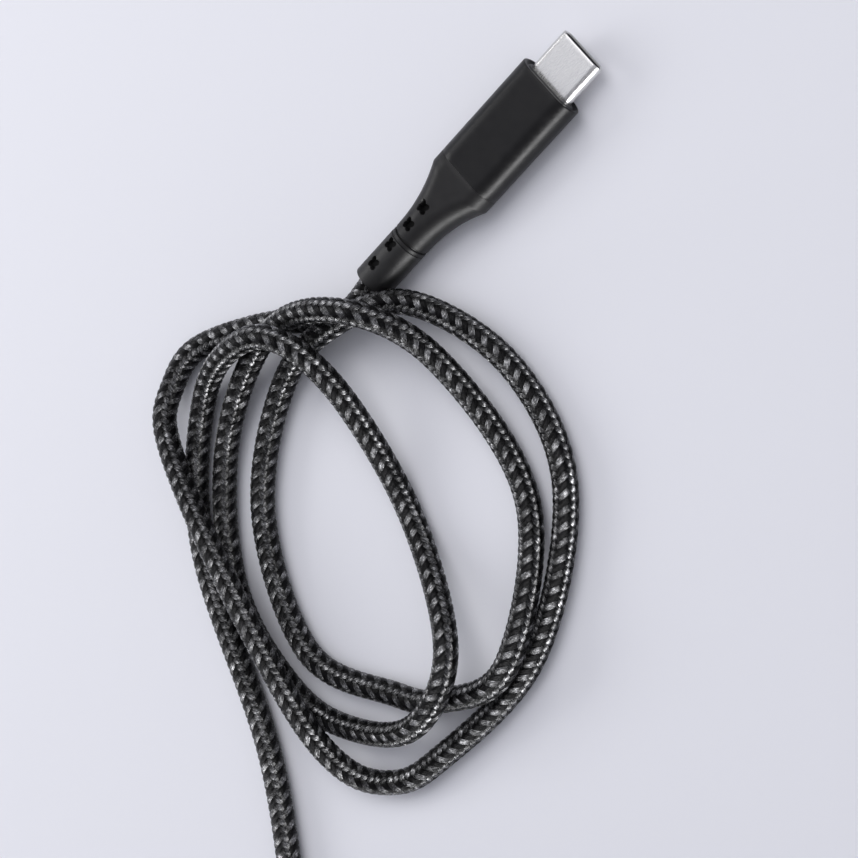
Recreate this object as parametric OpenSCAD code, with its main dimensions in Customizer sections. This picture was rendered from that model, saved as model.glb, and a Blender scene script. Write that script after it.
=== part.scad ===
// Braided charging cable with a USB-C plug on each end.
// The near plug lies along +X on the surface z = 0, its mouth towards +X, and the origin is
// under its middle. The cord leaves it towards -X, lies in loose loops and ends in a neat coil.

/* [Connector] */
// Width of the oval metal shell
shell_w = 8.25; // [8.1:0.05:8.4]
// Thickness of the oval metal shell
shell_t = 2.4; // [2.3:0.05:2.5]
// Length of shell that stands out of the grip
shell_out = 7; // [6.5:0.1:7.5]
// Length of shell hidden in the grip
shell_in = 6.4; // [5.5:0.1:7]
// Thickness of the shell's sheet metal
shell_wall = 0.3; // [0.2:0.05:0.4]

/* [Grip] */
// Width of the grip
grip_w = 11.4; // [11:0.1:13]
// Thickness of the grip, and diameter of its neck
grip_t = 6.2; // [6:0.1:7]
// Length of the straight housing
housing_l = 18.4; // [18:0.2:22]
// Wall of the housing
housing_wall = 0.9; // [0.7:0.1:1]
// Depth of the front bezel below the housing's rim
bezel_recess = 0.3; // [0.1:0.1:0.6]
// Length of the flare's full-width rim, behind the housing
rim_l = 2.2; // [1.5:0.1:3]
// Length over which the flare narrows to the neck
flare_l = 11.3; // [9:0.1:14]
// How hollow the flare's sides are
flare_power = 2.2; // [1.6:0.1:3]

/* [Strain relief] */
// Length of the collar ring between flare and sleeve
collar_l = 1; // [0.6:0.1:1.6]
// Length of the relief sleeve
sleeve_l = 8.5; // [7:0.5:12]
// Size of the star-shaped flex pockets
star_d = 2.1; // [1.6:0.1:2.4]
// Depth of the star-shaped flex pockets
star_depth = 0.6; // [0.3:0.1:0.8]
// Angle of the pockets' row, from the top of the neck
star_angle = 18; // [0:1:30]

/* [Cord] */
// Diameter of the braided cord
cord_d = 4; // [3.6:0.1:4]
// Radius of the stored coil at the middle of its turns
coil_r = 22; // [20:1:24]

/* [Hidden] */
$fn = 48;
axis_z = grip_t / 2;

// Stations along the plug, from the sleeve's end at x = 0 to the mouth
collar_x = sleeve_l;
flare_x = collar_x + collar_l;
rim_x = flare_x + flare_l;
housing_x = rim_x + rim_l;
face_x = housing_x + housing_l;
mouth_x = face_x + shell_out;
shell_x = face_x - shell_in;
star_x = [3.4, 7.4, 11.7, 15.2];

// Inside the plug
fit_gap = 0.02; // between pieces that touch
bore_gap = 0.1; // round the cord and the ferrule
over = 1; // how far a cutter runs past a face
cavity_w = grip_w - 2 * housing_wall;
cavity_t = grip_t - 2 * housing_wall;
slot_w = 7;
slot_t = 1.1;
slot_l = 6;
carrier_l = 9.6;
carrier_end = mouth_x - 0.2;
carrier_x = carrier_end - carrier_l;
beam_w = 0.25;
beam_t = 0.14;
beam_pitch = 0.5;
beam_count = 12;
beam_back = 1.6;
beam_end = mouth_x - 2.4;
latch_t = 0.2;
board_l = 8;
board_w = 6.8;
board_t = 0.8;
board_x = carrier_x - bore_gap - board_l;
can_w = 9.2;
can_t = 3.9;
can_wall = 0.25;
can_l = 10.5;
can_x = board_x - 3;
mould_gap = 0.2;
mould_l = can_x - housing_x - 2 * mould_gap;
ferrule_d = 5;
ferrule_l = 4;
ferrule_x = rim_x - 3.2;
lead_d = 0.6;
lead_pitch_in = 0.63;
lead_pitch_out = 1.2;
lead_gap = 0.05;
cable_end_l = ferrule_x + ferrule_l - 1;

// The places of the two plugs and of the coil
near_at = [-mouth_x / 2, 0, 0];
coil_at = [-106, -100];
entry_angle = 142;
turn_gap = cord_d / 2;
outer_r = coil_r + turn_gap;
far_gap = 28;
far_at = [coil_at.x + far_gap, coil_at.y - outer_r, 0];

// The cord's route in the open: it crosses over itself in low humps
route = [
    [-24.2, 0, 3.1], [-32, 0.5, 2], [-43, 9, 2], [-55, 15, 2], [-62.3, 13.7, 2.3],
    [-67.5, 8.1, 4.6], [-72.5, -11.4, 7.1], [-78.5, -38, 6.5], [-80, -50.4, 3.5],
    [-75.9, -56.9, 2.1], [-67.7, -59.5, 2], [-43.8, -58.5, 2], [-22.1, -43.6, 2],
    [-16.1, -24.7, 2.2], [-20.9, -7.3, 4.2], [-31.2, -1.3, 6.2], [-46.4, 0.1, 2.4],
    [-64, -11.9, 2], [-73.1, -33.1, 2], [-65.5, -47.6, 2.1], [-60, -53.2, 3.1],
    [-46.2, -57.3, 5.7], [-28, -40.9, 2], [-23.7, -16.4, 4.3], [-27.9, -2.2, 10.3],
    [-41.9, 6.2, 5.6], [-61.4, 0.1, 2.3], [-76.1, -17.1, 2], [-79.3, -35.7, 2],
    [-75.1, -46.7, 2.4], [-63.7, -54.4, 7.1], [-51.4, -49.4, 7.2], [-44.5, -30, 2],
    [-38.9, -10.7, 6], [-38.9, 1.3, 9.7], [-44.9, 7.3, 9.1], [-59.1, 8.1, 2.7], [-76.5, -8.5, 2],
    [-90.2, -40.9, 2], [-108.3, -66.6, 2]
];
coil_entry = [
    coil_at.x + outer_r * cos(entry_angle), coil_at.y + outer_r * sin(entry_angle), cord_d / 2
];
tail_route = [
    [coil_at.x, far_at.y, 1.5 * cord_d], [coil_at.x + 10, far_at.y, 1.4 * cord_d],
    [coil_at.x + 20, far_at.y, cord_d], [far_at.x, far_at.y, axis_z]
];
rings_per_step = 2;
cord_sides = 8;

PLUG_PARTS = [
    "connector_shell", "contact_carrier", "upper_contacts", "lower_contacts", "latch_plate",
    "upper_ground_spring", "lower_ground_spring", "paddle_board", "marker_chip", "board_resistors",
    "upper_shield", "lower_shield", "front_bezel", "housing", "inner_mould", "flare",
    "collar_ring", "relief_sleeve", "crimp_ferrule", "cable_end", "wire_leads"
];

// A stadium: a rectangle with round ends
module stadium(w, t) {
    square([w - t, t], center = true);
    for (side = [-1, 1]) translate([side * (w - t) / 2, 0]) circle(d = t);
}

// Extrudes a section along the plug's axis, from x to x + l
module along(x, l) {
    translate([x, 0, axis_z]) rotate([90, 0, 90]) linear_extrude(l) children();
}

// A box along the plug's axis, centred at y, from z_low to z_low + t above the axis
module bar(x, l, y, w, z_low, t) {
    translate([x, y - w / 2, axis_z + z_low]) cube([l, w, t]);
}

module connector_shell() {
    color("silver") along(shell_x, mouth_x - shell_x) difference() {
        stadium(shell_w, shell_t);
        stadium(shell_w - 2 * shell_wall, shell_t - 2 * shell_wall);
    }
}

// The row of spring contacts on one face of the tongue slot; face is 1 above and -1 below
module contact_row(face, grow = 0) {
    for (i = [0 : beam_count - 1])
        bar(
            carrier_x - beam_back, beam_end - carrier_x + beam_back,
            (i - (beam_count - 1) / 2) * beam_pitch, beam_w + 2 * grow,
            (face > 0 ? slot_t / 2 - beam_t : -slot_t / 2) - grow, beam_t + 2 * grow
        );
}

// The side latches: a plate behind the slot with two arms, each ending in a round tip
module latch_outline() {
    plate_l = carrier_l - slot_l;
    arm_l = slot_l - 1.6;
    arm_w = 0.35;
    tip_d = 0.7;
    arm_y = slot_w / 2 - arm_w / 2 - 0.05;
    plate_w = 2 * arm_y + arm_w;
    translate([carrier_x, -plate_w / 2]) square([plate_l, plate_w]);
    for (side = [-1, 1]) {
        translate([carrier_x + plate_l, side * arm_y - arm_w / 2]) square([arm_l, arm_w]);
        translate([carrier_x + plate_l + arm_l - 0.5, side * (arm_y - arm_w / 2)])
            circle(d = tip_d);
    }
}

module latch_plate() {
    color("gainsboro") translate([0, 0, axis_z - latch_t / 2]) linear_extrude(latch_t)
        latch_outline();
}

module contact_carrier() {
    color("black") difference() {
        along(carrier_x, carrier_l)
            stadium(shell_w - 2 * shell_wall - fit_gap, shell_t - 2 * shell_wall - fit_gap);
        bar(carrier_end - slot_l, slot_l + over, 0, slot_w, -slot_t / 2, slot_t);
        contact_row(1, fit_gap / 2);
        contact_row(-1, fit_gap / 2);
        bar(
            carrier_x - over, carrier_l - slot_l + 2 * over, 0, slot_w,
            -latch_t / 2 - fit_gap / 2, latch_t + fit_gap
        );
    }
}

module upper_contacts() {
    color("gold") contact_row(1);
}

module lower_contacts() {
    color("gold") contact_row(-1);
}

// A ground spring plate by the mouth, on one face of the slot
module ground_spring(face) {
    spring_l = 1.4;
    spring_w = 5.2;
    spring_t = 0.12;
    spring_x = beam_end + 0.4;
    color("gainsboro") bar(
        spring_x, spring_l, 0, spring_w,
        face > 0 ? slot_t / 2 - spring_t : -slot_t / 2, spring_t
    );
}

module paddle_board() {
    color("seagreen") bar(board_x, board_l, 0, board_w, -board_t / 2, board_t);
}

module marker_chip() {
    chip_side = 2.4;
    chip_t = 0.75;
    chip_x = board_x + 0.8;
    color("dimgray") bar(chip_x, chip_side, 0, chip_side, board_t / 2, chip_t);
}

module board_resistors() {
    size = [1, 0.5, 0.35];
    for (y = [-2.3, 2.3])
        color("sienna") bar(board_x + 3.6, size.x, y, size.y, board_t / 2, size.z);
}

// Half of the screening can round the paddle board; face is 1 above and -1 below
module shield_half(face) {
    color("lightgray") intersection() {
        along(can_x, can_l) difference() {
            stadium(can_w, can_t);
            stadium(can_w - 2 * can_wall, can_t - 2 * can_wall);
        }
        bar(
            can_x - over, can_l + 2 * over, 0, can_w + over,
            face > 0 ? fit_gap / 2 : -can_t - fit_gap / 2, can_t
        );
    }
}

// The plate round the shell at the grip's mouth, with a raised lip
module front_bezel() {
    bezel_l = 1.8;
    bezel_face = face_x - bezel_recess;
    lip_w = 0.4;
    lip_out = 0.2;
    color("dimgray") difference() {
        union() {
            along(bezel_face - bezel_l, bezel_l)
                stadium(cavity_w - fit_gap, cavity_t - fit_gap);
            along(bezel_face - bezel_l / 2, bezel_l / 2 + lip_out)
                stadium(shell_w + 2 * lip_w, shell_t + 2 * lip_w);
        }
        along(shell_x, mouth_x - shell_x) stadium(shell_w + fit_gap, shell_t + fit_gap);
    }
}

module housing() {
    color("black") along(housing_x, housing_l) difference() {
        stadium(grip_w, grip_t);
        stadium(cavity_w, cavity_t);
    }
}

module inner_mould() {
    color("white") difference() {
        along(housing_x + mould_gap, mould_l) stadium(cavity_w - bore_gap, cavity_t - bore_gap);
        leads(lead_d + fit_gap);
    }
}

// Width of the flare at a station of its taper, from 0 at the neck to 1 at the rim
function flare_w(s) = grip_t + (grip_w - grip_t) * pow(s, flare_power);

function stadium_ring(x, w, t, n) = [
    for (k = [0 : n - 1])
        let (a = 360 * (k + 0.5) / n)
            [x, sign(cos(a)) * (w - t) / 2 + t / 2 * cos(a), axis_z + t / 2 * sin(a)]
];

// Triangles of a closed loft of equal rings
function loft_faces(rings, n) = concat(
    [[for (k = [0 : n - 1]) k]],
    [
        for (r = [0 : rings - 2], k = [0 : n - 1])
            let (a = r * n + k, b = r * n + (k + 1) % n)
                each [[a, a + n, b + n], [a, b + n, b]]
    ],
    [[for (k = [n - 1 : -1 : 0]) (rings - 1) * n + k]]
);

// The star-shaped pockets whose stations lie between two ends, on both faces of the neck
module star_pockets(from, to) {
    lobe_w = star_d / 3;
    for (x = star_x, turn = [0, 180])
        if (x > from && x < to)
            translate([x, 0, axis_z]) rotate([turn - star_angle, 0, 0])
                translate([0, 0, grip_t / 2 - star_depth]) linear_extrude(star_depth + over)
                    for (a = [45, 135]) rotate(a) stadium(star_d, lobe_w);
}

module flare() {
    n = 40;
    steps = 12;
    rings = concat(
        [for (i = [0 : steps]) stadium_ring(flare_x + flare_l * i / steps, flare_w(i / steps),
            grip_t, n)],
        [stadium_ring(housing_x, grip_w, grip_t, n)]
    );
    color("black") difference() {
        polyhedron([for (ring = rings) each ring], loft_faces(len(rings), n), convexity = 6);
        along(flare_x - over, housing_x - flare_x + 2 * over) circle(d = cord_d + bore_gap);
        along(ferrule_x - bore_gap, housing_x - ferrule_x + over)
            circle(d = ferrule_d + bore_gap);
        star_pockets(flare_x, rim_x);
    }
}

module collar_ring() {
    groove_depth = 0.15;
    groove_w = 0.05;
    color("dimgray") along(collar_x + groove_w, collar_l - 2 * groove_w) difference() {
        circle(d = grip_t - 2 * groove_depth);
        circle(d = cord_d + bore_gap);
    }
}

module relief_sleeve() {
    color("black") difference() {
        along(0, sleeve_l) circle(d = grip_t);
        along(-over, sleeve_l + 2 * over) circle(d = cord_d + bore_gap);
        star_pockets(0, sleeve_l);
    }
}

module crimp_ferrule() {
    color("silver") along(ferrule_x, ferrule_l) difference() {
        circle(d = ferrule_d);
        circle(d = cord_d + bore_gap);
    }
}

// The end of the cord that the plug grips
module cable_end() {
    color("dimgray") along(0, cable_end_l) circle(d = cord_d);
}

// The insulated leads, fanning out from the cord's end to the paddle board
module leads(d) {
    for (i = [-2 : 2]) {
        run = board_x - cable_end_l - 4 * lead_gap;
        rise = i * (lead_pitch_out - lead_pitch_in);
        translate([cable_end_l + lead_gap, i * lead_pitch_in, axis_z])
            rotate([0, 90, atan2(rise, run)]) cylinder(d = d, h = norm([run, rise]));
    }
}

module wire_leads() {
    color("firebrick") leads(lead_d);
}

// One smooth curve through a list of points
function spline_point(p, i, t) =
    let (
        b = p[i], c = p[i + 1],
        a = i > 0 ? p[i - 1] : 2 * b - c,
        d = i + 2 < len(p) ? p[i + 2] : 2 * c - b,
        q = (2 * b + (c - a) * t + (2 * a - 5 * b + 4 * c - d) * t * t
            + (3 * b - a - 3 * c + d) * t * t * t) / 2
    ) [q.x, q.y, max(q.z, cord_d / 2)];

function spline(p, n) = concat(
    [for (i = [0 : len(p) - 2], k = [0 : n - 1]) spline_point(p, i, k / n)], [p[len(p) - 1]]
);

// A ring of points round a centre, square to the direction of travel
function cord_ring(centre, ahead) =
    let (
        side = [-ahead.y, ahead.x, 0] / norm([ahead.x, ahead.y]),
        up = cross(ahead, side) / norm(ahead)
    ) [
        for (k = [0 : cord_sides - 1])
            let (a = 360 * (k + 0.5) / cord_sides)
                centre + cord_d / 2 * (cos(a) * side + sin(a) * up)
    ];

module swept_cord(points) {
    last = len(points) - 1;
    rings = [
        for (i = [0 : last])
            cord_ring(points[i], points[min(i + 1, last)] - points[max(i - 1, 0)])
    ];
    polyhedron([for (ring = rings) each ring], loft_faces(last + 1, cord_sides), convexity = 20);
}

module cord_tube() {
    color("dimgray") swept_cord(spline(concat(route, [coil_entry]), rings_per_step));
}

module cord_coil() {
    color("dimgray") translate([coil_at.x, coil_at.y, 0]) rotate_extrude($fn = 96)
        translate([coil_r, cord_d]) {
            square([2 * cord_d, cord_d], center = true);
            square([cord_d, 2 * cord_d], center = true);
            for (x = [-1, 1], y = [-1, 1]) translate([x, y] * cord_d / 2) circle(d = cord_d);
        }
}

module cord_tail() {
    color("dimgray") swept_cord(spline(tail_route, rings_per_step));
}

module plug_part(part) {
    if (part == "connector_shell") connector_shell();
    if (part == "contact_carrier") contact_carrier();
    if (part == "upper_contacts") upper_contacts();
    if (part == "lower_contacts") lower_contacts();
    if (part == "latch_plate") latch_plate();
    if (part == "upper_ground_spring") ground_spring(1);
    if (part == "lower_ground_spring") ground_spring(-1);
    if (part == "paddle_board") paddle_board();
    if (part == "marker_chip") marker_chip();
    if (part == "board_resistors") board_resistors();
    if (part == "upper_shield") shield_half(1);
    if (part == "lower_shield") shield_half(-1);
    if (part == "front_bezel") front_bezel();
    if (part == "housing") housing();
    if (part == "inner_mould") inner_mould();
    if (part == "flare") flare();
    if (part == "collar_ring") collar_ring();
    if (part == "relief_sleeve") relief_sleeve();
    if (part == "crimp_ferrule") crimp_ferrule();
    if (part == "cable_end") cable_end();
    if (part == "wire_leads") wire_leads();
}

for (part = PLUG_PARTS) {
    translate(near_at) plug_part(part);
    translate(far_at) plug_part(part);
}
cord_tube();
cord_coil();
cord_tail();
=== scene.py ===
"""Looks of the braided USB-C cable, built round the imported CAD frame. Metres, CAD frame."""

import math

import bmesh
import bpy
import numpy as np
from mathutils import Matrix, Vector


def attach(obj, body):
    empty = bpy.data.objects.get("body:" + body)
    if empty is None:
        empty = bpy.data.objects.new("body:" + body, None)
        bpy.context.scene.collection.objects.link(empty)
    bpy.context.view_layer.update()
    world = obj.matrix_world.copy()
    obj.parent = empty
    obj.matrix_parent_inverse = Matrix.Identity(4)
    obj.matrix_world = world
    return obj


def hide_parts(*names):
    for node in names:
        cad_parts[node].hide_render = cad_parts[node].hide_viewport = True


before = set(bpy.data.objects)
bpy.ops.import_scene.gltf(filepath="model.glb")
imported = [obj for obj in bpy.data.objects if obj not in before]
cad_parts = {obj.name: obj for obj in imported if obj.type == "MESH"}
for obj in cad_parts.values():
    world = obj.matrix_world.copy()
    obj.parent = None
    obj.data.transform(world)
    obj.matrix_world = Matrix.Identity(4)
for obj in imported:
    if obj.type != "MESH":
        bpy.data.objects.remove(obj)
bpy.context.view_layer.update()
MM = 0.001

# ---------------------------------------------------------------- camera
RIGHT = Vector((0.63621, -0.61427, -0.46681)).normalized()
BACK = Vector((0.38586, -0.27061, 0.88198)).normalized()
UP = BACK.cross(RIGHT).normalized()
CAMERA_AT = (0.1059, -0.1195, 0.3193)
camera = bpy.data.objects.new("camera", bpy.data.cameras.new("camera"))
bpy.context.scene.collection.objects.link(camera)
camera.data.lens = 100
camera.data.sensor_width = 36
camera.data.clip_start = 0.01
turned = Matrix((RIGHT, UP, BACK)).transposed().to_4x4()
camera.matrix_world = Matrix.Translation(CAMERA_AT) @ turned
bpy.context.scene.camera = camera

# ---------------------------------------------------------------- sizes
CORD_D = 4.0
CORD_R = CORD_D / 2
AXIS_Z = 3.1
NEAR_X = -24.2                      # the near plug's sleeve end, in x
FAR_AT = (-78.0, -124.0)            # the far plug's sleeve end
COIL_AT = (-106.0, -100.0)
COIL_IN, COIL_OUT = 20.0, 24.0      # the two radii of the coil's turns
ENTRY_ANGLE = 142                   # where the open run meets the coil, in degrees
# the coil's shifts: where each begins and how long it takes, in degrees along the turns
INWARD, UPWARD, OUTWARD = (260, 90), (560, 90), (840, 80)
COIL_TURNS, COIL_STEP = 1204, 4     # the coil's length and the gap between its points, in degrees
PER_STEP = 24                       # curve points for each step of the route
STEP = 0.25                         # gap between the points of the finished line
ROUNDING = 6                        # steps over which corners of the line are rounded off

# The cord's route in the open, as in part.scad, in mm. Its points after the fourth aren't chosen by
# hand: a program fitted them, and they were rounded.
ROUTE = [
    (-24.2, 0, 3.1), (-32, 0.5, 2), (-43, 9, 2), (-55, 15, 2), (-62.3, 13.7, 2.3),
    (-67.5, 8.1, 4.6), (-72.5, -11.4, 7.1), (-78.5, -38, 6.5), (-80, -50.4, 3.5),
    (-75.9, -56.9, 2.1), (-67.7, -59.5, 2), (-43.8, -58.5, 2), (-22.1, -43.6, 2),
    (-16.1, -24.7, 2.2), (-20.9, -7.3, 4.2), (-31.2, -1.3, 6.2), (-46.4, 0.1, 2.4),
    (-64, -11.9, 2), (-73.1, -33.1, 2), (-65.5, -47.6, 2.1), (-60, -53.2, 3.1),
    (-46.2, -57.3, 5.7), (-28, -40.9, 2), (-23.7, -16.4, 4.3), (-27.9, -2.2, 10.3),
    (-41.9, 6.2, 5.6), (-61.4, 0.1, 2.3), (-76.1, -17.1, 2), (-79.3, -35.7, 2),
    (-75.1, -46.7, 2.4), (-63.7, -54.4, 7.1), (-51.4, -49.4, 7.2), (-44.5, -30, 2),
    (-38.9, -10.7, 6), (-38.9, 1.3, 9.7), (-44.9, 7.3, 9.1), (-59.1, 8.1, 2.7), (-76.5, -8.5, 2),
    (-90.2, -40.9, 2), (-108.3, -66.6, 2),
]
TAIL = [(COIL_AT[0], FAR_AT[1], 1.5 * CORD_D), (COIL_AT[0] + 10, FAR_AT[1], 1.4 * CORD_D),
        (COIL_AT[0] + 20, FAR_AT[1], CORD_D), (FAR_AT[0], FAR_AT[1], AXIS_Z)]


def spline(points, per_step):
    """A smooth curve through the points, at least a cord's radius above the ground."""
    p = np.array(points, float)
    p = np.vstack([2 * p[0] - p[1], p, 2 * p[-1] - p[-2]])
    t = (np.arange(per_step) / per_step)[:, None]
    out = []
    for i in range(1, len(p) - 2):
        a, b, c, d = p[i - 1], p[i], p[i + 1], p[i + 2]
        out.append((2 * b + (c - a) * t + (2 * a - 5 * b + 4 * c - d) * t ** 2
                    + (3 * b - a - 3 * c + d) * t ** 3) / 2)
    out = np.vstack(out + [p[-2:-1]])
    out[:, 2] = np.maximum(out[:, 2], CORD_R)
    return out


def smooth_step(u, start, length):
    """Goes from 0 to 1 while u goes from start over the length."""
    t = min(max((u - start) / length, 0.0), 1.0)
    return t * t * (3 - 2 * t)


def coil_points():
    """The neat coil: out, in, up and out again, four strands in a square stack."""
    out = []
    for u in range(COIL_STEP, COIL_TURNS + 1, COIL_STEP):
        r = COIL_OUT - (COIL_OUT - COIL_IN) * smooth_step(u, *INWARD)
        r += (COIL_OUT - COIL_IN) * smooth_step(u, *OUTWARD)
        z = CORD_R + CORD_D * smooth_step(u, *UPWARD)
        a = math.radians(ENTRY_ANGLE + u)
        out.append((COIL_AT[0] + r * math.cos(a), COIL_AT[1] + r * math.sin(a), z))
    return np.array(out)


def arc(points):
    return np.r_[0, np.cumsum(np.linalg.norm(np.diff(points, axis=0), axis=1))]


def even(points, step):
    """The same line with points an even step apart."""
    s = arc(points)
    n = max(2, int(round(s[-1] / step)) + 1)
    u = np.linspace(0, s[-1], n)
    return np.stack([np.interp(u, s, points[:, k]) for k in range(3)], 1)


def relax(points, width):
    """Rounds the line off over about width steps, its ends held."""
    reach = 3 * width
    weights = np.exp(-0.5 * (np.arange(-reach, reach + 1) / width) ** 2)
    weights /= weights.sum()
    before = 2 * points[0] - points[reach:0:-1]
    after = 2 * points[-1] - points[-2:-reach - 2:-1]
    grown = np.vstack([before, points, after])
    return np.stack([np.convolve(grown[:, c], weights, "valid") for c in range(3)], 1)


entry = (COIL_AT[0] + COIL_OUT * math.cos(math.radians(ENTRY_ANGLE)),
         COIL_AT[1] + COIL_OUT * math.sin(math.radians(ENTRY_ANGLE)), CORD_R)
open_run = spline(ROUTE + [entry], PER_STEP)
line = np.vstack([open_run, coil_points(), spline(TAIL, PER_STEP)])
line = relax(even(line, STEP), ROUNDING)
line[:, 2] = np.maximum(line[:, 2], CORD_R)
line = even(line, STEP)
S = arc(line)
LENGTH = float(S[-1])
OPEN_LENGTH = float(arc(open_run)[-1])

# ---------------------------------------------------------------- helpers
def link(name, verts, faces, uvs=None):
    """A smooth mesh object from arrays, mm in and metres out, with UV maps by name, per corner."""
    mesh = bpy.data.meshes.new(name)
    mesh.from_pydata((np.asarray(verts, float) * MM).tolist(), [], [tuple(f) for f in faces])
    for key, uv in (uvs or {}).items():
        mesh.uv_layers.new(name=key).data.foreach_set("uv", np.asarray(uv, np.float32).ravel())
    mesh.validate()
    mesh.update()
    mesh.shade_smooth()
    piece = bpy.data.objects.new(name, mesh)
    bpy.context.scene.collection.objects.link(piece)
    return piece


def add_values(mesh, name, values):
    """Keeps one number for each point of a mesh, for its material to read."""
    layer = mesh.attributes.new(name, "FLOAT", "POINT")
    layer.data.foreach_set("value", values)


def ring_faces(rings, n, closed=False):
    """Quads between rings of n points. A closed run joins up, and an open one is capped at both ends."""
    faces = []
    for r in range(rings if closed else rings - 1):
        after = (r + 1) % rings
        for k in range(n):
            b = (k + 1) % n
            faces.append((r * n + k, r * n + b, after * n + b, after * n + k))
    if not closed:
        faces.append(tuple(range(n - 1, -1, -1)))
        faces.append(tuple((rings - 1) * n + k for k in range(n)))
    return faces


# ---------------------------------------------------------------- the cord
def frames(points):
    """Side and up vectors carried along the line without twist."""
    t = np.gradient(points, axis=0)
    t /= np.linalg.norm(t, axis=1)[:, None]
    side = np.zeros_like(points)
    v = np.cross((0, 0, 1.0), t[0])
    side[0] = v / np.linalg.norm(v)
    for i in range(1, len(points)):
        v = side[i - 1] - t[i] * (side[i - 1] @ t[i])
        side[i] = v / np.linalg.norm(v)
    return side, np.cross(t, side)


SIDE, TOP = frames(line)


def on_cord(s, angle, radius):
    """Points at a distance along the cord, an angle round it and a radius from its middle."""
    middle = np.stack([np.interp(s, S, line[:, k]) for k in range(3)], -1)
    out = np.stack([np.interp(s, S, SIDE[:, k]) for k in range(3)], -1)
    up = np.stack([np.interp(s, S, TOP[:, k]) for k in range(3)], -1)
    return middle + (out * np.cos(angle)[..., None] + up * np.sin(angle)[..., None]) * radius[..., None]


PITCH = 9.5                 # length in which a yarn goes once round
CARRIERS = 8                # yarns each way
COLUMNS = 4                 # Z columns round the cord, with an S column between each two
YARN_T = 0.3                # rise of a yarn between under and over
SKIN = 0.01                 # room kept between the yarns and the cord's full radius
MID_R = CORD_R - YARN_T / 2 - SKIN
BRAID_ANGLE = math.atan(2 * math.pi * CORD_R / PITCH)
PHASE = math.radians(22)    # turns the columns of the braid round the cord
Z_EDGE = 28.5               # half the width of a Z column, in degrees round the cord
S_MIDDLE = 180 / COLUMNS    # the middle of an S column, in degrees from a Z column's
DIVE = 9.0                  # half the width of the band in which a yarn dives, in degrees
FLOAT_EDGE, FLOAT_SWELL = 0.72, 0.28    # a float's height at its ends, and what its middle adds
CROWN_POWER = 2.4           # how square a yarn's crown is


def yarn(direction, index, s0, s1, per_column, across, width, crown):
    """One flat yarn from s0 to s1: points, quads, and each point's s, place across and crest."""
    step = PITCH / COLUMNS / per_column
    s = np.arange(math.floor(s0 / step), math.ceil(s1 / step) + 1) * step
    turned = 0 if direction > 0 else math.radians(180 / CARRIERS)
    phi = direction * 2 * math.pi * s / PITCH + 2 * math.pi * index / CARRIERS + turned
    psi = np.abs((np.degrees(phi) + S_MIDDLE) % (2 * S_MIDDLE) - S_MIDDLE)    # from a Z column's middle
    rise = np.sin(np.clip((Z_EDGE - psi) / DIVE, -1, 1) * math.pi / 2)
    over = psi / Z_EDGE if direction > 0 else (S_MIDDLE - psi) / (S_MIDDLE - Z_EDGE)
    crest = np.clip(1 - over ** 2, 0, 1)            # 1 in the middle of a float, 0 where it dives
    height = direction * rise * YARN_T / 2 * (FLOAT_EDGE + FLOAT_SWELL * crest)
    v = np.linspace(-1, 1, across + 1)
    along = s[:, None] - v * width / 2 * math.sin(BRAID_ANGLE)
    angle = phi[:, None] + direction * v * width / 2 * math.cos(BRAID_ANGLE) / CORD_R
    radius = MID_R + height[:, None] - crown * np.abs(v) ** CROWN_POWER
    points = on_cord(np.clip(along, s0, s1), angle + PHASE, radius).reshape(-1, 3)
    n, m = len(s), across + 1
    i = np.arange(n - 1)[:, None] * m + np.arange(across)
    quads = np.stack([i, i + 1, i + m + 1, i + m], -1).reshape(-1, 4)
    if direction < 0:
        quads = quads[:, ::-1]
    return points, quads, np.repeat(s, m), np.tile(v, n), np.repeat(crest, m)


YARN_LENGTH = 2000          # about a yarn's own length
YARN_ROOM = 1.08            # about its width in the bake map, with the gaps beside it
OVERLAP = 0.3               # by which the finer and the plainer run of a yarn overlap


def yarns(name, direction, which, width, crown):
    """Several yarns as one mesh. Its bake map lays each yarn out in rows, one over the other."""
    parts = {"points": [], "quads": [], "strand": [], "rows": [], "crest": []}
    base = 0
    split = OPEN_LENGTH + 6             # a little way into the coil
    # start, end, stations in a column and quads across: fine in the open, plainer in the coil
    runs = ((0, split, 8, 4), (split - OVERLAP, LENGTH + 1, 5, 2))
    per_yarn = round(math.sqrt(YARN_LENGTH / YARN_ROOM / len(which)))
    row_length = (LENGTH + 2) / per_yarn
    for place, index in enumerate(which):
        for a, b, per_column, across in runs:
            points, quads, s, v, crest = yarn(direction, index, a, b, per_column, across, width, crown)
            sq, vq = s[quads], (v[quads] + 1) / 2
            row = np.clip(np.floor(sq.min(1, keepdims=True) / row_length), 0, per_yarn - 1)
            # a little room is left at a row's ends and between the rows
            along = np.clip((sq / row_length - row) * 0.996 + 0.002, 0, 1)
            up = (row * len(which) + place + 0.08 + 0.84 * vq) / (per_yarn * len(which))
            strand = np.stack([vq + index, sq / math.cos(BRAID_ANGLE)], -1)
            parts["rows"].append(np.stack([along, up], -1).reshape(-1, 2))
            parts["strand"].append(strand.reshape(-1, 2))
            parts["points"].append(points)
            parts["quads"].append(quads + base)
            parts["crest"].append(crest)
            base += len(points)
    piece = link(name, np.vstack(parts["points"]), np.vstack(parts["quads"]).tolist(),
                 {"Strand": np.vstack(parts["strand"]), "OFBake": np.vstack(parts["rows"])})
    add_values(piece.data, "Crest", np.concatenate(parts["crest"]))
    return piece


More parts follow.
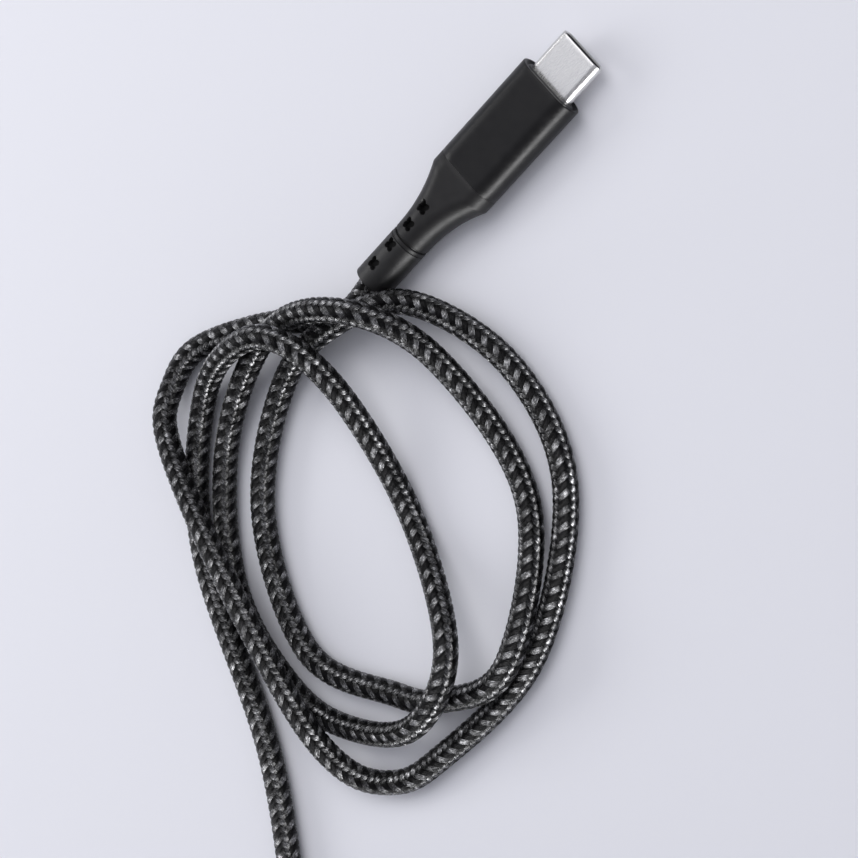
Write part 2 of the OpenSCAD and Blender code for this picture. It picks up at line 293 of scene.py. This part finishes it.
def core_tube():
    """The dark layer under the braid, which closes its gaps, with both ends capped."""
    sides, spacing, clearance = 12, 0.8, 0.06
    s = np.linspace(0, LENGTH, int(LENGTH / spacing))
    a = np.arange(sides) * 2 * math.pi / sides
    radius = np.full((len(s), sides), MID_R - YARN_T / 2 - clearance)
    points = on_cord(np.repeat(s[:, None], sides, 1), np.repeat(a[None, :], len(s), 0), radius)
    return link("braid_core", points.reshape(-1, 3), ring_faces(len(s), sides))


core = core_tube()
braid_s = yarns("braid_yarns_left", -1, range(CARRIERS), 0.92, 0.13)
braid_grey = yarns("braid_yarns_right_grey", 1, range(0, CARRIERS, 2), 0.94, 0.12)
braid_black = yarns("braid_yarns_right_black", 1, range(1, CARRIERS, 2), 0.96, 0.12)

# ---------------------------------------------------------------- plug pieces
SHARP = math.radians(32)            # edges sharper than this stay crisp


def section(w, t, n):
    """n points of a stadium w by t, evenly spaced in each quarter, anticlockwise from +Y."""
    c, r = (w - t) / 2, t / 2
    arc_length = r * math.pi / 2
    quarter = n // 4
    y, z = [], []
    for u in np.arange(quarter) / quarter * (arc_length + c):
        if u <= arc_length and r > 0:
            y.append(c + r * math.cos(u / r))
            z.append(r * math.sin(u / r))
        else:
            y.append(c - (u - arc_length))
            z.append(r)
    y, z = np.array(y), np.array(z)
    # the second quarter is the mirror of the first, run backwards, and the lower half is the upper turned
    y = np.r_[y, 0.0, -y[:0:-1]]
    z = np.r_[z, t / 2, z[:0:-1]]
    return np.stack([np.r_[y, -y], np.r_[z, -z]], 1)


def loft(name, at, stations, n=128):
    """A closed run of sections (x, w, t): along the outside and back through the inside."""
    rings = []
    for x, w, t in stations:
        q = section(w, t, n)
        rings.append(np.stack([np.full(n, at[0] + x), at[1] + q[:, 0], AXIS_Z + q[:, 1]], 1))
    piece = link(name, np.vstack(rings), ring_faces(len(rings), n, closed=True))
    work = bmesh.new()
    work.from_mesh(piece.data)
    bmesh.ops.recalc_face_normals(work, faces=work.faces)
    work.to_mesh(piece.data)
    work.free()
    piece.data.shade_smooth()
    piece.data.set_sharp_from_angle(angle=SHARP)
    return piece


def fillet(x, w, t, r, way, steps=5):
    """Stations of a rounded edge of radius r at x: way 1 closes towards +X, -1 opens from -X."""
    out = []
    for k in range(steps + 1):
        a = k / steps * math.pi / 2
        if way > 0:
            out.append((x - r + r * math.sin(a), 2 * r * (1 - math.cos(a))))
        else:
            out.append((x + r - r * math.cos(a), 2 * r * (1 - math.sin(a))))
    return [(px, w - cut, t - cut) for px, cut in out]


SLEEVE_L = 8.5
FLARE_X, RIM_X, SEAM_X, FACE_X, MOUTH_X, SHELL_X = 9.5, 20.8, 23.0, 41.4, 48.4, 35.0
GRIP_W, GRIP_T = 11.4, 6.2
SHELL_W, SHELL_T = 8.25, 2.4
BORE = CORD_D + 0.1                 # the hole for the cord
HOLLOW = 5.1                        # the wider hole inside the flare
FLARE_CURVE = 2.2                   # how hollow the flare's sides are


def housing(side, at):
    rings = [(SEAM_X, GRIP_W - 0.06, GRIP_T - 0.06), (SEAM_X + 0.01, GRIP_W - 0.02, GRIP_T - 0.02),
             (SEAM_X + 0.03, GRIP_W, GRIP_T)]
    rings += [(x, GRIP_W, GRIP_T) for x in np.linspace(SEAM_X + 1, FACE_X - 1, 12)]
    rings += fillet(FACE_X, GRIP_W, GRIP_T, 0.22, 1)
    rings += [(FACE_X - 0.02, GRIP_W - 0.78, GRIP_T - 0.78), (FACE_X - 0.28, GRIP_W - 1.3, GRIP_T - 1.3),
              (FACE_X - 0.5, GRIP_W - 1.8, GRIP_T - 1.8), (SEAM_X, GRIP_W - 1.8, GRIP_T - 1.8)]
    return loft(side + "_grip_housing", at, rings)


def bezel(side, at):
    x = FACE_X - 0.3
    hole_w, hole_t = SHELL_W + 0.02, SHELL_T + 0.02
    rings = [(x - 1.8, 9.58, 4.38), (x - 0.08, 9.58, 4.38), (x, 9.5, 4.3)]
    rings += [(x, 9.2, 3.4), (x + 0.06, 9.1, 3.26), (x + 0.18, 9.02, 3.18), (x + 0.24, 8.9, 3.06),
              (x + 0.24, hole_w + 0.12, hole_t + 0.12), (x + 0.18, hole_w, hole_t), (x - 1.8, hole_w, hole_t)]
    return loft(side + "_grip_face", at, rings)


def shell(side, at):
    w, t = SHELL_W, SHELL_T
    rings = [(SHELL_X, w, t)] + [(x, w, t) for x in np.linspace(SHELL_X + 3, MOUTH_X - 0.6, 10)]
    rings += fillet(MOUTH_X, w, t, 0.14, 1, 6)
    inner = [(MOUTH_X - 0.03, w - 0.36, t - 0.36), (MOUTH_X - 0.1, w - 0.44, t - 0.44),
             (MOUTH_X - 0.19, w - 0.6, t - 0.6), (SHELL_X, w - 0.6, t - 0.6)]
    return loft(side + "_plug_shell", at, rings + inner)


def flare_w(x):
    """The flare's width at x, from the neck's to the rim's."""
    s = min(max((x - FLARE_X) / (RIM_X - FLARE_X), 0), 1)
    return GRIP_T + (GRIP_W - GRIP_T) * s ** FLARE_CURVE


def flare(side, at):
    rings = [(FLARE_X, GRIP_T - 0.3, GRIP_T - 0.3), (FLARE_X + 0.05, GRIP_T - 0.12, GRIP_T - 0.12),
             (FLARE_X + 0.14, GRIP_T, GRIP_T)]
    rings += [(x, flare_w(x), GRIP_T) for x in np.arange(FLARE_X + 0.5, RIM_X - 0.2, 0.3)]
    rings += [(RIM_X - 0.12, flare_w(RIM_X - 0.12), GRIP_T), (RIM_X + 0.03, GRIP_W - 0.03, GRIP_T),
              (RIM_X + 0.25, GRIP_W, GRIP_T), (RIM_X + 1.2, GRIP_W, GRIP_T)]
    rings += [(SEAM_X - 0.03, GRIP_W, GRIP_T), (SEAM_X - 0.01, GRIP_W - 0.02, GRIP_T - 0.02),
              (SEAM_X, GRIP_W - 0.06, GRIP_T - 0.06)]
    rings += [(SEAM_X, HOLLOW, HOLLOW), (FLARE_X + 8, HOLLOW, HOLLOW), (FLARE_X + 7.9, BORE, BORE),
              (FLARE_X, BORE, BORE)]
    return loft(side + "_grip_flare", at, rings)


def sleeve(side, at):
    rings = fillet(0, GRIP_T, GRIP_T, 0.18, -1)
    rings += [(x, GRIP_T, GRIP_T) for x in np.arange(0.6, SLEEVE_L - 0.3, 0.35)]
    rings += [(SLEEVE_L - 0.08, GRIP_T, GRIP_T), (SLEEVE_L - 0.02, GRIP_T - 0.05, GRIP_T - 0.05),
              (SLEEVE_L, GRIP_T - 0.14, GRIP_T - 0.14)]
    rings += [(SLEEVE_L, BORE, BORE), (0.4, BORE, BORE), (0.0, BORE + 0.35, BORE + 0.35)]
    return loft(side + "_strain_sleeve", at, rings)


def collar(side, at):
    a, b = SLEEVE_L + 0.02, FLARE_X - 0.02
    rings = [(a, 5.9, 5.9), (a + 0.04, 6.06, 6.06), (a + 0.1, 6.15, 6.15), (b - 0.36, 6.15, 6.15),
             (b - 0.28, 6.02, 6.02), (b - 0.24, 5.6, 5.6), (b, 5.6, 5.6), (b, BORE, BORE), (a, BORE, BORE)]
    return loft(side + "_collar_band", at, rings, n=96)


STAR_SIZE = 2.25
STAR_POINTS = 64
STAR_TURN = math.radians(18)        # how far the stars are turned round the neck
STAR_WAIST, STAR_REACH = 0.62, 0.38     # a star's radius in its hollows, and what a lobe adds
LOBE_POWER = 1.15                   # how blunt the lobes are
POCKET_DEPTH = 0.85
FLARE_STARS, SLEEVE_STARS = (11.7, 15.2), (3.4, 7.4)     # how far they lie from the sleeve's end


def star_outline(size):
    """Four blunt lobes on the diagonals with hollow flanks between them."""
    out = []
    for k in range(STAR_POINTS):
        a = 2 * math.pi * k / STAR_POINTS
        lobe = abs(math.cos(2 * (a - math.pi / 4))) ** LOBE_POWER
        r = STAR_WAIST + STAR_REACH * lobe
        out.append((size / 2 * r * math.cos(a), size / 2 * r * math.sin(a)))
    return out


def star_cutter(at, x, turn):
    """A pocket to cut: sloped walls, a chamfered rim, standing out of the neck."""
    neck = GRIP_T / 2
    levels = [(neck - POCKET_DEPTH, 0.86), (neck - 0.2, 0.98), (neck - 0.04, 1.02), (neck + 0.5, 1.3)]
    verts = []
    turned = Matrix.Rotation(turn, 3, "X")
    for z, scale in levels:
        for px, py in star_outline(STAR_SIZE * scale):
            v = turned @ Vector((px, py, z))
            verts.append((at[0] + x + v.x, at[1] + v.y, AXIS_Z + v.z))
    return verts, ring_faces(len(levels), STAR_POINTS)


def cut_stars(piece, at, places):
    """Cuts a star in the upper and the lower side at each x, and marks the points below the surface."""
    verts, faces = [], []
    for x in places:
        for half in (0, math.pi):
            more, rings = star_cutter(at, x, half - STAR_TURN)
            faces += [tuple(i + len(verts) for i in q) for q in rings]
            verts += more
    cutter = link("cutter", verts, faces)
    mod = piece.modifiers.new("pockets", "BOOLEAN")
    mod.operation, mod.solver, mod.object = "DIFFERENCE", "EXACT", cutter
    bpy.context.view_layer.update()
    done = bpy.data.meshes.new_from_object(piece.evaluated_get(bpy.context.evaluated_depsgraph_get()))
    piece.modifiers.clear()
    old, piece.data = piece.data, done
    piece.data.name = old.name
    bpy.data.meshes.remove(old)
    bpy.data.objects.remove(cutter)
    coords = np.zeros(len(piece.data.vertices) * 3, np.float32)
    piece.data.vertices.foreach_get("co", coords)
    off = coords.reshape(-1, 3)[:, 1:] / MM - (at[1], AXIS_Z)
    # 0 down to just under the surface, 1 from a third of a millimetre further in
    sunk = np.clip((GRIP_T / 2 - 0.05 - np.hypot(off[:, 0], off[:, 1])) / 0.35, 0, 1)
    # the material reads these to paint shade inside the pockets and to make them rougher
    add_values(piece.data, "Sunk", sunk.astype(np.float32))
    piece.data.shade_smooth()
    piece.data.set_sharp_from_angle(angle=SHARP)


# each kind of outer piece, the CAD part that it stands for, and its slot
SLOTS = {
    "grip_housing": ("housing", "housing_plastic"),
    "grip_face": ("front_bezel", "bezel_plastic"),
    "plug_shell": ("connector_shell", "shell_steel"),
    "grip_flare": ("flare", "flare_rubber"),
    "strain_sleeve": ("relief_sleeve", "sleeve_rubber"),
    "collar_band": ("collar_ring", "collar_rubber"),
}
plug = {}
for side, at in (("near", (NEAR_X, 0.0)), ("far", FAR_AT)):
    for build in (housing, bezel, shell, flare, sleeve, collar):
        piece = build(side, at)
        plug[piece.name] = piece
    cut_stars(plug[side + "_grip_flare"], at, FLARE_STARS)
    cut_stars(plug[side + "_strain_sleeve"], at, SLEEVE_STARS)

# ---------------------------------------------------------------- materials
def shader(name, base, rough, metal=0.0, spec=0.5):
    mat = bpy.data.materials.new(name)
    mat.use_nodes = True
    p = mat.node_tree.nodes["Principled BSDF"]
    p.inputs["Base Color"].default_value = (*base, 1)
    p.inputs["Roughness"].default_value = rough
    p.inputs["Metallic"].default_value = metal
    p.inputs["Specular IOR Level"].default_value = spec
    return mat, p


def node(mat, kind, **values):
    n = mat.node_tree.nodes.new(kind)
    for key, value in values.items():
        if key in n.inputs:
            n.inputs[key].default_value = value
        else:
            setattr(n, key, value)
    return n


def noise(mat, scale, detail, stretch=(1, 1, 1)):
    """Noise in the object's own metres, stretched along its axes."""
    tree = mat.node_tree
    coord = node(mat, "ShaderNodeTexCoord")
    squeeze = node(mat, "ShaderNodeMapping")
    squeeze.inputs["Scale"].default_value = stretch
    tex = node(mat, "ShaderNodeTexNoise", Scale=scale, Detail=detail)
    tree.links.new(coord.outputs["Object"], squeeze.inputs["Vector"])
    tree.links.new(squeeze.outputs["Vector"], tex.inputs["Vector"])
    return tex.outputs["Fac"]


def spread(mat, fac, low, high):
    """Maps a noise value to a range, or to a range of colours."""
    tree = mat.node_tree
    if isinstance(low, tuple):
        ramp = node(mat, "ShaderNodeValToRGB")
        for stop, position, colour in zip(ramp.color_ramp.elements, (0.32, 0.68), (low, high)):
            stop.position = position
            stop.color = (*colour, 1)
        tree.links.new(fac, ramp.inputs["Fac"])
        return ramp.outputs["Color"]
    scaled = node(mat, "ShaderNodeMapRange")
    for key, value in (("From Min", 0.3), ("From Max", 0.7), ("To Min", low), ("To Max", high)):
        scaled.inputs[key].default_value = value
    tree.links.new(fac, scaled.inputs["Value"])
    return scaled.outputs["Result"]


def blend(mat, fac, start, end):
    """Mixes two colours by a factor. Each colour is a value or another node's output."""
    tree = mat.node_tree
    mix = node(mat, "ShaderNodeMix", data_type="RGBA")
    ends = {socket.name: socket for socket in mix.inputs if socket.type == "RGBA"}
    for key, colour in (("A", start), ("B", end)):
        if isinstance(colour, tuple):
            ends[key].default_value = (*colour, 1)
        else:
            tree.links.new(colour, ends[key])
    tree.links.new(fac, mix.inputs["Factor"])
    return [socket for socket in mix.outputs if socket.type == "RGBA"][0]


def bump(mat, p, height, distance, strength=1.0):
    b = node(mat, "ShaderNodeBump", Strength=strength, Distance=distance)
    mat.node_tree.links.new(height, b.inputs["Height"])
    mat.node_tree.links.new(b.outputs["Normal"], p.inputs["Normal"])


def moulded(name, base, lift, rough, grain, spec=0.5, distance=6e-6, pockets=False):
    """Moulded plastic or rubber: fine spark-eroded grain, slow tone and roughness changes, rougher pockets
    darkened as painted shade.
    """
    mat, p = shader(name, base, rough, 0.0, spec)
    tree = mat.node_tree
    colour = spread(mat, noise(mat, 260, 4), base, tuple(c * lift for c in base))
    sheen = spread(mat, noise(mat, 900, 3), rough - 0.05, rough + 0.05)
    if pockets:
        sunk = node(mat, "ShaderNodeAttribute", attribute_name="Sunk")
        # painted shade: the inside of each pocket is darkened towards about a tenth of the base colour
        colour = blend(mat, sunk.outputs["Fac"], colour, tuple(c * 0.12 for c in base))
        dull = node(mat, "ShaderNodeMath", operation="MULTIPLY_ADD")
        dull.inputs[1].default_value = 0.55
        tree.links.new(sunk.outputs["Fac"], dull.inputs[0])
        tree.links.new(sheen, dull.inputs[2])
        sheen = dull.outputs[0]
    tree.links.new(colour, p.inputs["Base Color"])
    tree.links.new(sheen, p.inputs["Roughness"])
    bump(mat, p, noise(mat, grain, 2), distance)
    return mat


def metal(name, base, rough):
    """Plated or rolled metal with faint lines along X and a little tarnish."""
    mat, p = shader(name, base, rough, 1.0)
    tree = mat.node_tree
    line_scale, along_x = 900, (1, 30, 30)
    tarnish = spread(mat, noise(mat, 220, 3), tuple(c * 0.95 for c in base), base)
    sheen = spread(mat, noise(mat, line_scale, 3, along_x), rough * 0.8, rough * 1.25)
    tree.links.new(tarnish, p.inputs["Base Color"])
    tree.links.new(sheen, p.inputs["Roughness"])
    bump(mat, p, noise(mat, line_scale, 3, along_x), 1.2e-6)
    return mat


FILAMENTS = 4.5             # ridges across a yarn
GLINT_POWER = 2.6           # how narrow the painted glints and crest highlights on a yarn are


def yarn_material(name, low, high, rough, spec, lustre):
    """Flat multifilament yarn: filaments side by side across U, running along V."""
    mat, p = shader(name, low, rough, lustre, spec)
    tree = mat.node_tree
    uv = node(mat, "ShaderNodeUVMap", uv_map="Strand")
    split = node(mat, "ShaderNodeSeparateXYZ")
    tree.links.new(uv.outputs["UV"], split.inputs["Vector"])

    def maths(operation, *values):
        step = node(mat, "ShaderNodeMath", operation=operation)
        for i, value in enumerate(values):
            if isinstance(value, (int, float)):
                step.inputs[i].default_value = value
            else:
                tree.links.new(value, step.inputs[i])
        return step.outputs[0]

    # filaments: round ridges across the yarn, which wander a little
    drift = noise(mat, 700, 2)
    u = maths("ADD", split.outputs["X"], maths("MULTIPLY", maths("SUBTRACT", drift, 0.5), 0.16))
    turns = maths("MULTIPLY", u, FILAMENTS)
    ridge = maths("ABSOLUTE", maths("SINE", maths("MULTIPLY", turns, math.pi)))
    # each filament's own tone, changing slowly along it
    cell = node(mat, "ShaderNodeCombineXYZ")
    tree.links.new(maths("FLOOR", turns), cell.inputs["X"])
    tree.links.new(maths("MULTIPLY", split.outputs["Y"], 0.9), cell.inputs["Y"])
    each = node(mat, "ShaderNodeTexNoise", Scale=1.9, Detail=1.0)
    tree.links.new(cell.outputs["Vector"], each.inputs["Vector"])
    patches = maths("MULTIPLY", noise(mat, 620, 1), 0.5)
    tone = maths("ADD", maths("MULTIPLY", each.outputs["Fac"], 0.5), patches)
    # the filaments' own tone, sharpened into painted glints; a painted highlight on the crest of a float, and
    # painted shade where it dives and between the filaments
    crest = node(mat, "ShaderNodeAttribute", attribute_name="Crest")
    painted_crest_highlight = maths("ADD", maths("MULTIPLY", maths("POWER", crest.outputs["Fac"], GLINT_POWER), 0.94), 0.06)
    glint = maths("MULTIPLY", maths("POWER", spread(mat, tone, 0.2, 1.0), GLINT_POWER), painted_crest_highlight)
    shade = maths("MULTIPLY", glint, maths("ADD", maths("MULTIPLY", ridge, 0.8), 0.2))
    colour = blend(mat, shade, tuple(c * 0.3 for c in low), high)
    tree.links.new(colour, p.inputs["Base Color"])
    tree.links.new(spread(mat, each.outputs["Fac"], rough - 0.06, rough + 0.1), p.inputs["Roughness"])
    p.inputs["Anisotropic"].default_value = 0.7
    across = node(mat, "ShaderNodeTangent", direction_type="UV_MAP", uv_map="Strand")
    tree.links.new(across.outputs["Tangent"], p.inputs["Tangent"])
    bump(mat, p, ridge, 6e-5)
    return mat


yarn_grey = yarn_material("yarn_grey", (0.012, 0.012, 0.013), (0.98, 0.98, 1.0), 0.24, 0.40, 0.6)
yarn_mid = yarn_material("yarn_grey_mid", (0.009, 0.009, 0.010), (0.80, 0.80, 0.82), 0.24, 0.30, 0.6)
yarn_black = yarn_material("yarn_black", (0.005, 0.0048, 0.0055), (0.024, 0.023, 0.026), 0.30, 0.12, 0.3)
core_black = moulded("braid_under", (0.008, 0.008, 0.009), 1.5, 0.7, 3000)

housing_black = moulded("housing_satin", (0.0060, 0.0058, 0.0066), 1.25, 0.34, 5200, 0.22, 2e-6)
bezel_black = moulded("bezel_matt", (0.03, 0.03, 0.032), 1.3, 0.5, 4200, 0.4, 4e-6)
flare_black = moulded("flare_rubber", (0.0080, 0.0076, 0.0084), 1.25, 0.42, 4200, 0.25, 5e-6,
                      pockets=True)
sleeve_black = moulded("sleeve_rubber", (0.0088, 0.0085, 0.0090), 1.25, 0.42, 4200, 0.34, 5e-6,
                       pockets=True)
collar_black = moulded("collar_rubber", (0.0084, 0.0080, 0.0086), 1.25, 0.42, 4200, 0.27, 5e-6)
nickel = metal("nickel_plate", (0.69, 0.685, 0.68), 0.25)
spring = metal("spring_steel", (0.62, 0.62, 0.62), 0.26)
can = metal("tinned_can", (0.68, 0.68, 0.66), 0.34)
gold = metal("contact_gold", (0.94, 0.71, 0.32), 0.22)
brass = metal("ferrule_brass", (0.78, 0.61, 0.33), 0.3)
carrier = moulded("carrier_black", (0.01, 0.01, 0.011), 1.4, 0.5, 4000, 0.4)
laminate = moulded("board_laminate", (0.012, 0.11, 0.05), 1.25, 0.35, 3000)
chip = moulded("chip_black", (0.014, 0.014, 0.015), 1.4, 0.5, 5000)
ceramic = moulded("resistor_ceramic", (0.05, 0.04, 0.035), 1.5, 0.4, 3000)
mould = moulded("inner_mould", (0.62, 0.60, 0.54), 1.06, 0.5, 2500)
lead = moulded("lead_plastic", (0.45, 0.04, 0.03), 1.15, 0.35, 2500)


OUTER_LOOKS = {
    "grip_housing": housing_black, "grip_face": bezel_black, "plug_shell": nickel,
    "grip_flare": flare_black, "strain_sleeve": sleeve_black, "collar_band": collar_black,
}
INNER_LOOKS = {
    "contact_carrier": carrier, "upper_contacts": gold, "lower_contacts": gold, "latch_plate": spring,
    "upper_ground_spring": spring, "lower_ground_spring": spring, "paddle_board": laminate,
    "marker_chip": chip, "board_resistors": ceramic, "upper_shield": can, "lower_shield": can,
    "inner_mould": mould, "crimp_ferrule": brass, "wire_leads": lead, "cable_end": core_black,
}


def dress(piece, mat):
    piece.data.materials.clear()
    piece.data.materials.append(mat)


for side in ("near_", "far_"):
    for kind, mat in OUTER_LOOKS.items():
        dress(plug[side + kind], mat)
    for kind, mat in INNER_LOOKS.items():
        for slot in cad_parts[side + kind].material_slots:
            slot.material = mat
dress(core, core_black)
dress(braid_s, yarn_grey)
dress(braid_grey, yarn_mid)
dress(braid_black, yarn_black)

# ---------------------------------------------------------------- riding, and the CAD parts they stand for hidden
for name, piece in plug.items():
    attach(piece, "root")
    part, slot_name = SLOTS[name.split("_", 1)[1]]
    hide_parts(name.split("_", 1)[0] + "_" + part)
for piece in (core, braid_s, braid_grey, braid_black):
    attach(piece, "root")
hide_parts("cord_tube", "cord_coil", "cord_tail")

# ---------------------------------------------------------------- floor and light
FLOOR_Z = -0.00002          # a little under the cord, so that they don't share a plane


def floor():
    size = 1.6
    corners = [(-size, -size, 0), (size, -size, 0), (size, size, 0), (-size, size, 0)]
    mesh = bpy.data.meshes.new("floor")
    mesh.from_pydata(corners, [], [(0, 1, 2, 3)])
    ob = bpy.data.objects.new("floor", mesh)
    bpy.context.scene.collection.objects.link(ob)
    mat, p = shader("floor_paper", (0.83, 0.835, 0.885), 0.8, 0, 0.2)
    bump(mat, p, noise(mat, 500, 3), 1e-5, 0.3)
    mesh.materials.append(mat)
    ob.location.z = FLOOR_Z


floor()


def softbox(name, at, aim, size, power, colour=(1, 1, 1), sheen_only=False):
    """A flat light that faces its aim. With sheen_only it makes highlights and lights nothing else."""
    light = bpy.data.lights.new(name, "AREA")
    light.shape = "RECTANGLE"
    light.size, light.size_y = size
    light.energy = power
    light.color = colour
    lamp = bpy.data.objects.new(name, light)
    bpy.context.scene.collection.objects.link(lamp)
    z = (Vector(at) - Vector(aim)).normalized()
    x = Vector((1, 0, 0))
    x = (x - z * x.dot(z)).normalized()
    lamp.matrix_world = Matrix.Translation(at) @ Matrix((x, z.cross(x), z)).transposed().to_4x4()
    lamp.visible_diffuse = not sheen_only


softbox("key", (0.27, 0.42, 0.76), (-0.03, -0.02, 0), (0.7, 0.7), 3.3, (1, 0.99, 0.98))
softbox("right_strip", (-0.154, -0.38, 0.108), (0, 0, 0), (0.9, 0.15), 5.8, sheen_only=True)
softbox("left_strip", (-0.17, 0.42, 0.165), (0, 0, 0), (0.9, 0.04), 0.5, sheen_only=True)
softbox("left_fill", (-0.40, 0.36, 0.26), (-0.05, -0.03, 0), (0.5, 0.2), 1.3)

# a black flag beside the overhead light, seen as the dark line along the shell's rounded edge
FLAG_TOWARDS = (-0.386, -0.40, 0.831)
FLAG_EDGE, FLAG_MIDDLE = 0.86, 0.97     # the cosines at which the flag begins and is darkest
FLAG_LEVEL = 0.45
# the sky's brightness from the horizon and below (0) to overhead (1)
SKY_LEVELS = ((0.0, 0.45), (0.45, 0.34), (0.7, 0.40), (0.84, 0.76), (1.0, 0.76))
SKY_TINT = (0.95, 0.96, 1.04)


def light_the_sky():
    world = bpy.data.worlds.new("world")
    bpy.context.scene.world = world
    world.use_nodes = True
    sky = world.node_tree
    background = sky.nodes["Background"]
    direction = sky.nodes.new("ShaderNodeTexCoord").outputs["Generated"]
    axes = sky.nodes.new("ShaderNodeSeparateXYZ")
    ramp = sky.nodes.new("ShaderNodeValToRGB")
    toward = sky.nodes.new("ShaderNodeVectorMath")
    toward.operation = "DOT_PRODUCT"
    toward.inputs[1].default_value = FLAG_TOWARDS
    flag = sky.nodes.new("ShaderNodeMapRange")
    flag.interpolation_type = "SMOOTHSTEP"
    for key, value in (("From Min", FLAG_EDGE), ("From Max", FLAG_MIDDLE), ("To Min", 1.0),
                       ("To Max", FLAG_LEVEL)):
        flag.inputs[key].default_value = value
    sky.links.new(direction, axes.inputs["Vector"])
    sky.links.new(axes.outputs["Z"], ramp.inputs["Fac"])
    sky.links.new(direction, toward.inputs[0])
    sky.links.new(toward.outputs["Value"], flag.inputs["Value"])
    sky.links.new(ramp.outputs["Color"], background.inputs["Color"])
    sky.links.new(flag.outputs["Result"], background.inputs["Strength"])
    stops = ramp.color_ramp.elements
    for position, level in SKY_LEVELS:
        stop = stops[0] if position == 0 else stops[-1] if position == 1 else stops.new(position)
        stop.position = position
        stop.color = (*(level * tint for tint in SKY_TINT), 1)


light_the_sky()
bpy.context.scene.view_settings.view_transform = "Standard"
